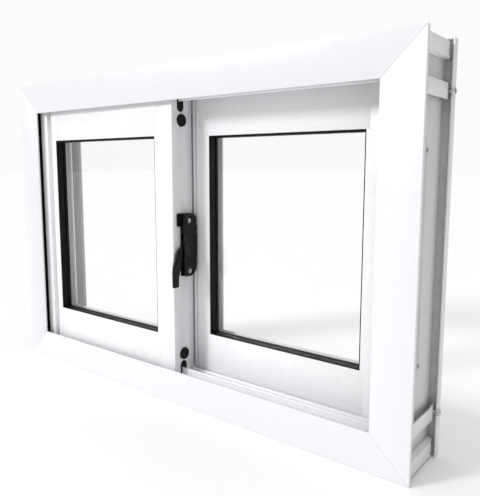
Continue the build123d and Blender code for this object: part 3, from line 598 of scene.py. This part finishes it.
@built_once
def clear_glass():
    """Float glass that lets light pass on its way to what is behind it."""
    material, tree, shader, place = new_material("glass", Transmission_Weight=1.0, IOR=1.45)
    smear = remap(tree, noise(tree, place, 9.0, 5.0), 0.45, 0.8, 0.0, 0.03)
    tint = remap(tree, noise(tree, place, 6.0), 0.3, 0.7)
    feed(tree, shader.inputs["Roughness"], smear)
    feed(tree, shader.inputs["Base Color"], blend_colour(tree, tint, GLASS_GREEN, GLASS_CLEAR))
    through = add_node(tree, "ShaderNodeBsdfTransparent")
    rays = add_node(tree, "ShaderNodeLightPath")
    either = math_node(tree, "MAXIMUM", rays.outputs["Is Shadow Ray"], rays.outputs["Is Diffuse Ray"])
    mix = add_node(tree, "ShaderNodeMixShader")
    for index, value in enumerate((either, shader.outputs[0], through.outputs[0])):
        feed(tree, mix.inputs[index], value)
    feed(tree, tree.nodes["Material Output"].inputs["Surface"], mix.outputs[0])
    return material


# ---- pieces: coated profiles ---------------------------------------------------------------
def soften(nodes, radius):
    """Coated copies of frame nodes with their edges rounded."""
    for node in nodes:
        piece = merged_copy(node, node + "_finish")
        round_edges(piece, radius)
        finish_piece(piece, node, coat_of(node))


def ease_mitres(piece, gap):
    """Draws both mitred ends back a hair, so that each joint shows as a fine line."""
    for away in (-1.0, 1.0):
        for up in (-1.0, 1.0):
            out = Vector((away, 0.0, up)).normalized()
            select_where(piece, "FACE", lambda middle, way: way.dot(out) > 0.99)
            bpy.ops.transform.translate(value=-out * gap)
            bpy.ops.object.mode_set(mode="OBJECT")


class WINDOW_OT_trims(bpy.types.Operator):
    """Mitred trims with eased edges"""
    bl_idname = "window.trims"
    bl_label = "Trims"

    def execute(self, context):
        settings = context.scene.window_profiles
        for node in nodes_like("_trim_"):
            piece = merged_copy(node, node + "_finish")
            ease_mitres(piece, settings.mitre_gap)
            round_edges(piece, settings.trim_edge)
            finish_piece(piece, node, coat_of(node))
        return {"FINISHED"}


class WINDOW_OT_frame(bpy.types.Operator):
    """Head, sill and jambs with eased edges"""
    bl_idname = "window.frame"
    bl_label = "Frame Profiles"

    def execute(self, context):
        soften(["head_track", "sill_track", "jamb_left", "jamb_right"],
               context.scene.window_profiles.profile_edge)
        return {"FINISHED"}


class WINDOW_OT_sashes(bpy.types.Operator):
    """Stiles and rails of both sashes with eased edges"""
    bl_idname = "window.sashes"
    bl_label = "Sash Profiles"

    def execute(self, context):
        soften(nodes_like("_stile", "_rail"), context.scene.window_profiles.profile_edge)
        return {"FINISHED"}


class WINDOW_OT_straps(bpy.types.Operator):
    """Sheet straps across the jambs"""
    bl_idname = "window.straps"
    bl_label = "Straps"

    def execute(self, context):
        straps = [node for node in nodes_like("strap_", "end_plate") if "screws" not in node]
        soften(straps, context.scene.window_profiles.sheet_edge)
        return {"FINISHED"}


GASKET_BITE = 7.0 * MM  # how far the pane's edge lies behind the gasket's sight line
FRONT_LIP = 1.4 * MM
REAR_LIP_SHARE = 0.6
REAR_LIP_EASE = 0.8 * MM
# The front lip's outline: share of its width towards the pane, then depth in millimetres.
GASKET_PROFILE = ((1.0, 1.0), (0.93, 0.5), (0.80, 0.25), (0.72, 1.0), (0.60, 1.0), (0.52, 0.25),
                  (0.25, 0.0), (0.05, 0.15), (0.0, 0.5), (0.0, 1.4))


def gasket(sash):
    """Glazing gasket: a grooved front lip, a band round the pane's edge and a plain rear lip."""
    node = sash + "_sash_gasket"
    low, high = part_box(node)
    glass_low, glass_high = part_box(sash + "_sash_glass")
    seals = bpy.context.scene.window_seals
    sight = (glass_low[0] + GASKET_BITE, glass_high[0] - GASKET_BITE,
             glass_low[2] + GASKET_BITE, glass_high[2] - GASKET_BITE)

    def inside(share, depth):
        side, foot, head = (share * width for width in seals.lip_widths)
        return (sight[0] + side, sight[1] - side, sight[2] + foot, sight[3] - head, depth)

    def outside(reach, depth):
        return (sight[0] - reach, sight[1] + reach, sight[2] - reach, sight[3] + reach, depth)

    band = sight[0] - low[0]
    loops = [inside(1.0, glass_low[1])]
    loops += [inside(share, low[1] + step * MM) for share, step in GASKET_PROFILE]
    loops += [outside(band, low[1] + FRONT_LIP), outside(band, high[1]), inside(REAR_LIP_SHARE, high[1])]
    loops += [inside(1.0, high[1] - REAR_LIP_EASE), inside(1.0, glass_high[1])]
    loops += [outside(GASKET_BITE, glass_high[1]), outside(GASKET_BITE, glass_low[1])]
    finish_piece(mitred_ring(node + "_finish", loops), node, rubber())


class WINDOW_OT_rubber(bpy.types.Operator):
    """Gaskets around the panes and the jamb seals"""
    bl_idname = "window.rubber"
    bl_label = "Rubber Seals"

    def execute(self, context):
        for sash in ("front", "rear"):
            gasket(sash)
        for node in nodes_like("jamb_seal"):
            piece = merged_copy(node, node + "_finish")
            round_edges(piece, context.scene.window_seals.seal_edge)
            finish_piece(piece, node, rubber())
        return {"FINISHED"}


PILE_WIDTH = 4.0 * MM
PILE_BACKINGS = (("front", -1, 1.2 * MM), ("rear", 1, 0.5 * MM))  # sash, the way it faces, tape
INTERLOCK_BACKING = 1.0 * MM
TUFT_PITCH = 0.9 * MM
TUFT_TAPER = (0.7, 0.8, 0.7)
ROW_TAPER = 0.45


def join_pieces(name, pieces):
    """Joins pieces into the first of them."""
    pick(pieces[0])
    for piece in pieces:
        piece.select_set(True)
    bpy.ops.object.join()
    pieces[0].name = name
    return pieces[0]


def pile_strip(name, low, high, along, out, facing, backing):
    """A backing tape with a row of tapered tufts; along and out are axis numbers."""
    base_low, base_high = list(low), list(high)
    tuft_low, tuft_high = list(low), list(high)
    if facing < 0:
        base_low[out] = tuft_high[out] = high[out] - backing
    else:
        base_high[out] = tuft_low[out] = low[out] + backing
    tape = slab(name, base_low, base_high)
    tuft_high[along] = low[along] + TUFT_PITCH
    tuft = slab("tuft", tuft_low, tuft_high)
    select_where(tuft, "FACE", lambda middle, way: way[out] * facing > FACING)
    tip = [(a + b) / 2 for a, b in zip(tuft_low, tuft_high)]
    tip[out] = tuft_high[out] if facing > 0 else tuft_low[out]
    taper = list(TUFT_TAPER)
    taper[along] = ROW_TAPER
    bpy.ops.transform.resize(value=taper, center_override=tip)
    bpy.ops.object.mode_set(mode="OBJECT")
    step = [0.0, 0.0, 0.0]
    step[along] = TUFT_PITCH
    count = int((high[along] - low[along]) / TUFT_PITCH)
    apply_modifier(tuft, "ARRAY", count=count, use_relative_offset=False, use_constant_offset=True,
                   constant_offset_displace=step)
    return join_pieces(name, [tape, tuft])


class WINDOW_OT_pile(bpy.types.Operator):
    """Brush strips"""
    bl_idname = "window.pile"
    bl_label = "Brush Pile"

    def execute(self, context):
        for sash, facing, backing in PILE_BACKINGS:
            node = sash + "_sash_pile"
            low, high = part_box(node)
            lower_top = (high[0], high[1], low[2] + PILE_WIDTH)
            upper_foot = (low[0], low[1], high[2] - PILE_WIDTH)
            strips = [pile_strip("strip", low, lower_top, 0, 1, facing, backing),
                      pile_strip("strip", upper_foot, high, 0, 1, facing, backing)]
            finish_piece(join_pieces(node + "_finish", strips), node, pile_fibre())
        low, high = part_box("interlock_pile")
        strip = pile_strip("interlock_pile_finish", low, high, 2, 0, 1, INTERLOCK_BACKING)
        finish_piece(strip, "interlock_pile", pile_fibre())
        return {"FINISHED"}


class WINDOW_OT_glass(bpy.types.Operator):
    """Panes with ground edges"""
    bl_idname = "window.glass"
    bl_label = "Glass"

    def execute(self, context):
        for node in nodes_like("_glass"):
            piece = merged_copy(node, node + "_finish")
            round_edges(piece, 0.4 * MM, 1)
            finish_piece(piece, node, clear_glass())
        return {"FINISHED"}


def at_depth(depth):
    """Distance behind the front trim's face, in millimetres, as a place along Y."""
    return CAD_BOX[0][1] + depth * MM


def spot(depth, height):
    """A depth behind the trims' face and a height above the base, as a place in Y and Z."""
    return at_depth(depth), height * MM


# Places in the latch, in millimetres: depth behind the trims' face, then height above the base.
LATCH_SCREWS = ((29.8, 220.6), (29.8, 158.9))
PIVOT = (33.0, 192.0)
TAB_CORNER = (14.6, 213.8)
CASE_FRONT = 20.5
SLOT_TOP = 205.5
MOUTH_HEIGHTS = (183.0, 208.5)

CASE_WALL = 1.3 * MM
CASE_BACK = 1.2 * MM
RIM_WIDTH = 0.5 * MM
RIM_SLOPE = 0.45 * MM
TOP_BEND = 8.0 * MM
FOOT_BEND = 12.0 * MM
BOSS_RADIUS = 4.6 * MM
POCKET_RADIUS = 3.7 * MM
POCKET_DEPTH = 2.6 * MM
SCREW_HOLE = 2.0 * MM
PIN_HOLE = 2.0 * MM
PIVOT_HOLE = 2.05 * MM
LEVER_SLOT = (1.7 * MM, 5.9 * MM)  # from the case's back face
SLOT_LENGTH = 5.0 * MM
MOUTH_LENGTH = 4.0 * MM
TAB_THICKNESS = 2.0 * MM
TAB_BEND = 1.6 * MM


def case_shell(low, high, front):
    """The case's block, rounded behind, with a sloped rim and a hollow for the lever."""
    case = slab("latch_case_finish", (low[0], front, low[2]), (high[0] - RIM_SLOPE, high[1], high[2]))
    round_corner(case, high[1], high[2], TOP_BEND)
    round_corner(case, high[1], low[2], FOOT_BEND)
    round_corner(case, front, high[2], 1.2 * MM, 3)
    round_corner(case, front, low[2], 2.0 * MM, 4)
    select_where(case, "FACE", lambda middle, way: way.x > FACING)
    bpy.ops.mesh.inset(thickness=RIM_WIDTH, depth=RIM_SLOPE)
    bpy.ops.object.mode_set(mode="OBJECT")
    hollow = slab("hollow", (low[0] + CASE_BACK, front + CASE_WALL, low[2] + CASE_WALL),
                  [edge - CASE_WALL for edge in high])
    round_corner(hollow, high[1] - CASE_WALL, high[2] - CASE_WALL, TOP_BEND - CASE_WALL)
    round_corner(hollow, high[1] - CASE_WALL, low[2] + CASE_WALL, FOOT_BEND - CASE_WALL)
    combine(case, hollow)
    return case


def case_screw_place(case, back, face, axis):
    """A boss with a pocket for the screw's head and a hole for its shank."""
    combine(case, rod("boss", back + 0.3 * MM, face - 0.4 * MM, axis, BOSS_RADIUS), "UNION")
    combine(case, rod("pocket", face - POCKET_DEPTH, face + MM, axis, POCKET_RADIUS))
    combine(case, rod("bore", back - MM, face + MM, axis, SCREW_HOLE))


def latch_case():
    """Case with its two bosses, the lever's slot in front, the hook's mouth behind and a tab."""
    low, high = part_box("latch_case")
    front = at_depth(CASE_FRONT)
    case = case_shell(low, high, front)
    for screw in LATCH_SCREWS:
        case_screw_place(case, low[0], high[0], spot(*screw))
    left, right = (low[0] + side for side in LEVER_SLOT)
    slot = slab("slot", (left, front - MM, low[2] - MM), (right, front + SLOT_LENGTH, SLOT_TOP * MM))
    combine(case, slot)
    mouth_foot, mouth_top = (height * MM for height in MOUTH_HEIGHTS)
    mouth = slab("mouth", (left, high[1] - MOUTH_LENGTH, mouth_foot), (right, high[1] + MM, mouth_top))
    combine(case, mouth)
    combine(case, rod("pin hole", low[0] - MM, high[0] + MM, spot(*PIVOT), PIN_HOLE))
    tab_front, tab_foot = spot(*TAB_CORNER)
    tab = slab("tab", (low[0], tab_front, tab_foot), (low[0] + TAB_THICKNESS, front + MM, high[2]))
    for height in (high[2], tab_foot):
        round_corner(tab, tab_front, height, TAB_BEND, 4)
    combine(case, tab, "UNION")
    round_edges(case, 0.3 * MM, 2, 40)
    finish_piece(case, "latch_case", latch_black())


# The lever's middle line from the pivot to the tip: depth, height and width, in millimetres.
LEVER_PATH = ((33.0, 193.0, 8.6), (27.0, 197.0, 8.8), (21.0, 195.2, 9.8), (16.8, 187.6, 12.0),
              (13.2, 178.0, 13.6), (10.6, 169.0, 13.4), (9.2, 161.0, 12.0), (8.4, 156.0, 10.2),
              (7.9, 152.4, 9.0), (7.8, 146.5, 8.8), (7.8, 141.4, 8.2))
STUB = 3.0  # what the arm runs on behind the pivot, in millimetres
HUB_RADIUS = 5.0 * MM
HOOK_DEPTHS = (33.0, 38.6)
HOOK_HEIGHTS = (195.5, 203.5)
HOOK_NOSE = (0.0, 3.6 * MM, -1.2 * MM)
HOOK_TIP = (42.2, 198.5)


def lever_arm(back, face):
    """The lever's comma: a bar's end face led down a curved path."""
    depth, height, width = LEVER_PATH[0]
    arm = slab("latch_lever_finish", (back, *spot(depth, height - width / 2)),
               (face, *spot(depth + STUB, height + width / 2)))
    select_where(arm, "FACE", lambda middle, way: way.y < -FACING)
    heading = math.pi / 2
    for before, after in zip(LEVER_PATH, LEVER_PATH[1:]):
        place = Vector(((back + face) / 2, *spot(*after[:2])))
        move = Vector((0, (after[0] - before[0]) * MM, (after[1] - before[1]) * MM))
        growth = after[2] / before[2]
        bpy.ops.mesh.extrude_region_move(TRANSFORM_OT_translate={"value": move})
        turned = math.atan2(-move.y, -move.z)
        bpy.ops.transform.rotate(value=heading - turned, orient_axis="X", center_override=place)
        bpy.ops.transform.resize(value=(1.0, growth, growth), center_override=place)
        heading = turned
    bpy.ops.object.mode_set(mode="OBJECT")
    return arm


def lever_hook(back, face):
    """The hook behind the pivot, with a nose that narrows and drops."""
    (root, bend), (foot, top) = HOOK_DEPTHS, HOOK_HEIGHTS
    hook = slab("hook", (back, *spot(root, foot)), (face, *spot(bend, top)))
    select_where(hook, "FACE", lambda middle, way: way.y > FACING)
    bpy.ops.mesh.extrude_region_move(TRANSFORM_OT_translate={"value": HOOK_NOSE})
    bpy.ops.transform.resize(value=(1, 1, 0.5), center_override=((back + face) / 2, *spot(*HOOK_TIP)))
    bpy.ops.object.mode_set(mode="OBJECT")
    return hook


def latch_lever():
    """Lever with its hub, its hook and the pin's bore."""
    low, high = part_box("latch_lever")
    back, face = low[0], high[0]
    arm = lever_arm(back, face)
    apply_modifier(arm, "BEVEL", width=0.5 * MM, segments=2, limit_method="ANGLE",
                   angle_limit=math.radians(50))
    axis = spot(*PIVOT)
    combine(arm, rod("hub", back, face, axis, HUB_RADIUS), "UNION")
    combine(arm, lever_hook(back, face), "UNION")
    combine(arm, rod("bore", back - MM, face + MM, axis, PIVOT_HOLE))
    bpy.ops.object.shade_smooth_by_angle(angle=math.radians(35))
    finish_piece(arm, "latch_lever", latch_black())


class WINDOW_OT_latch(bpy.types.Operator):
    """Latch case and lever"""
    bl_idname = "window.latch"
    bl_label = "Latch"

    def execute(self, context):
        latch_case()
        latch_lever()
        return {"FINISHED"}


class WINDOW_OT_hardware(bpy.types.Operator):
    """Plugs, guides, rollers, stops, screws, pins and keeper"""
    bl_idname = "window.hardware"
    bl_label = "Hardware"

    def execute(self, context):
        for node in nodes_like("plugs", "guides", "wheel", "housings", "stop"):
            coat_node(node, nylon_black())
        coat_node("latch_pin", latch_black())
        for node in nodes_like("screws", "axles", "keeper", "latch_spring"):
            coat_node(node, zinc())
        return {"FINISHED"}


# ---- studio ------------------------------------------------------------------------------
# Camera: place in metres, turn in degrees, lens and sensor in millimetres, shift in sensor widths.
CAMERA_PLACE = (0.47085, -0.50063, 0.28670)
CAMERA_TURN = (90 - 7.563, 0.052, 38.463)
CAMERA_LENS = 40.76
CAMERA_SENSOR = 36.0
CAMERA_SHIFT = (0.00762, -0.01672)
FLOOR_SIZE = 40.0
# Each light's setting, its heading in X and Y, and its elevation and spread in degrees.
LIGHTS = (("key", (0.56, 0.83), 24.0, 14.0), ("overhead", (0.1, 0.2), 85.0, 70.0),
          ("fill", (-0.95, 0.3), 22.0, 30.0))


def add_camera():
    data = bpy.data.cameras.new("camera")
    data.lens = CAMERA_LENS
    data.sensor_width = CAMERA_SENSOR
    data.shift_x, data.shift_y = CAMERA_SHIFT
    data.clip_start = 0.01
    camera = bpy.data.objects.new("camera", data)
    camera.location = CAMERA_PLACE
    camera.rotation_euler = [math.radians(angle) for angle in CAMERA_TURN]
    bpy.context.scene.collection.objects.link(camera)
    bpy.context.scene.camera = camera


def add_sun(name, heading, elevation, strength, spread):
    """A broad light that travels along a heading in X and Y, down at an elevation in degrees."""
    data = bpy.data.lights.new(name, "SUN")
    data.energy = strength
    data.angle = math.radians(spread)
    fall = math.radians(elevation)
    level = Vector((heading[0], heading[1], 0.0)).normalized() * math.cos(fall)
    light = bpy.data.objects.new(name, data)
    light.rotation_euler = Vector((level.x, level.y, -math.sin(fall))).to_track_quat("-Z", "Y").to_euler()
    bpy.context.scene.collection.objects.link(light)


def add_world(sky, backdrop):
    """Even light all round, brighter where it is seen directly or through glass."""
    world = bpy.data.worlds.new("studio")
    world.use_nodes = True
    tree = world.node_tree
    around = tree.nodes["Background"]
    seen = add_node(tree, "ShaderNodeBackground")
    for shader, strength in ((around, sky), (seen, backdrop)):
        shader.inputs["Color"].default_value = (1.0, 1.0, 1.0, 1.0)
        shader.inputs["Strength"].default_value = strength
    rays = add_node(tree, "ShaderNodeLightPath")
    direct = math_node(tree, "MAXIMUM", rays.outputs["Is Camera Ray"], rays.outputs["Is Transmission Ray"])
    mix = add_node(tree, "ShaderNodeMixShader")
    for index, value in enumerate((direct, around.outputs[0], seen.outputs[0])):
        feed(tree, mix.inputs[index], value)
    feed(tree, tree.nodes["World Output"].inputs["Surface"], mix.outputs[0])
    bpy.context.scene.world = world


def add_floor(colour):
    bpy.ops.mesh.primitive_plane_add(size=FLOOR_SIZE, location=(0, 0, 0))
    floor = bpy.context.object
    floor.name = "studio_floor"
    material, tree, shader, place = new_material("studio_floor", Roughness=0.9, Specular_IOR_Level=0.1)
    mottle = remap(tree, noise(tree, place, 3.0, 4.0), 0.3, 0.7)
    darker = (*[part * 0.995 for part in colour], 1.0)
    feed(tree, shader.inputs["Base Color"], blend_colour(tree, mottle, darker, (*colour, 1.0)))
    floor.data.materials.append(material)


class WINDOW_OT_studio(bpy.types.Operator):
    """Pale floor, soft light and camera"""
    bl_idname = "window.studio"
    bl_label = "Studio"

    def execute(self, context):
        studio = context.scene.window_studio
        deselect()
        add_floor(studio.floor_colour)
        add_world(studio.sky, studio.backdrop)
        for name, heading, elevation, spread in LIGHTS:
            add_sun(name, heading, elevation, getattr(studio, name), spread)
        context.scene.view_settings.view_transform = "Standard"
        add_camera()
        return {"FINISHED"}


# ---- panel and registration ----------------------------------------------------------------
STEPS = (WINDOW_OT_trims, WINDOW_OT_frame, WINDOW_OT_sashes, WINDOW_OT_straps, WINDOW_OT_rubber,
         WINDOW_OT_pile, WINDOW_OT_glass, WINDOW_OT_latch, WINDOW_OT_hardware, WINDOW_OT_studio)
SETTINGS = (("window_profiles", ProfileSettings), ("window_seals", SealSettings),
            ("window_latch", LatchSettings), ("window_studio", StudioSettings))


class WINDOW_PT_finish(bpy.types.Panel):
    """The window's pieces and settings"""
    bl_idname = "WINDOW_PT_finish"
    bl_label = "Window Finish"
    bl_space_type = "VIEW_3D"
    bl_region_type = "UI"
    bl_category = "Window"

    def draw(self, context):
        for name, settings in SETTINGS:
            box = self.layout.box()
            for key in settings.__annotations__:
                box.prop(getattr(context.scene, name), key)
        for step in STEPS:
            self.layout.operator(step.bl_idname)


def register():
    for name, settings in SETTINGS:
        bpy.utils.register_class(settings)
        setattr(bpy.types.Scene, name, bpy.props.PointerProperty(type=settings))
    for step in STEPS:
        bpy.utils.register_class(step)
    bpy.utils.register_class(WINDOW_PT_finish)


def unregister():
    bpy.utils.unregister_class(WINDOW_PT_finish)
    for step in reversed(STEPS):
        bpy.utils.unregister_class(step)
    for name, settings in reversed(SETTINGS):
        delattr(bpy.types.Scene, name)
        bpy.utils.unregister_class(settings)


def main():
    """Builds everything in order."""
    register()
    for step in STEPS:
        area, action = step.bl_idname.split(".")
        getattr(getattr(bpy.ops, area), action)()


if __name__ == "__main__":
    main()
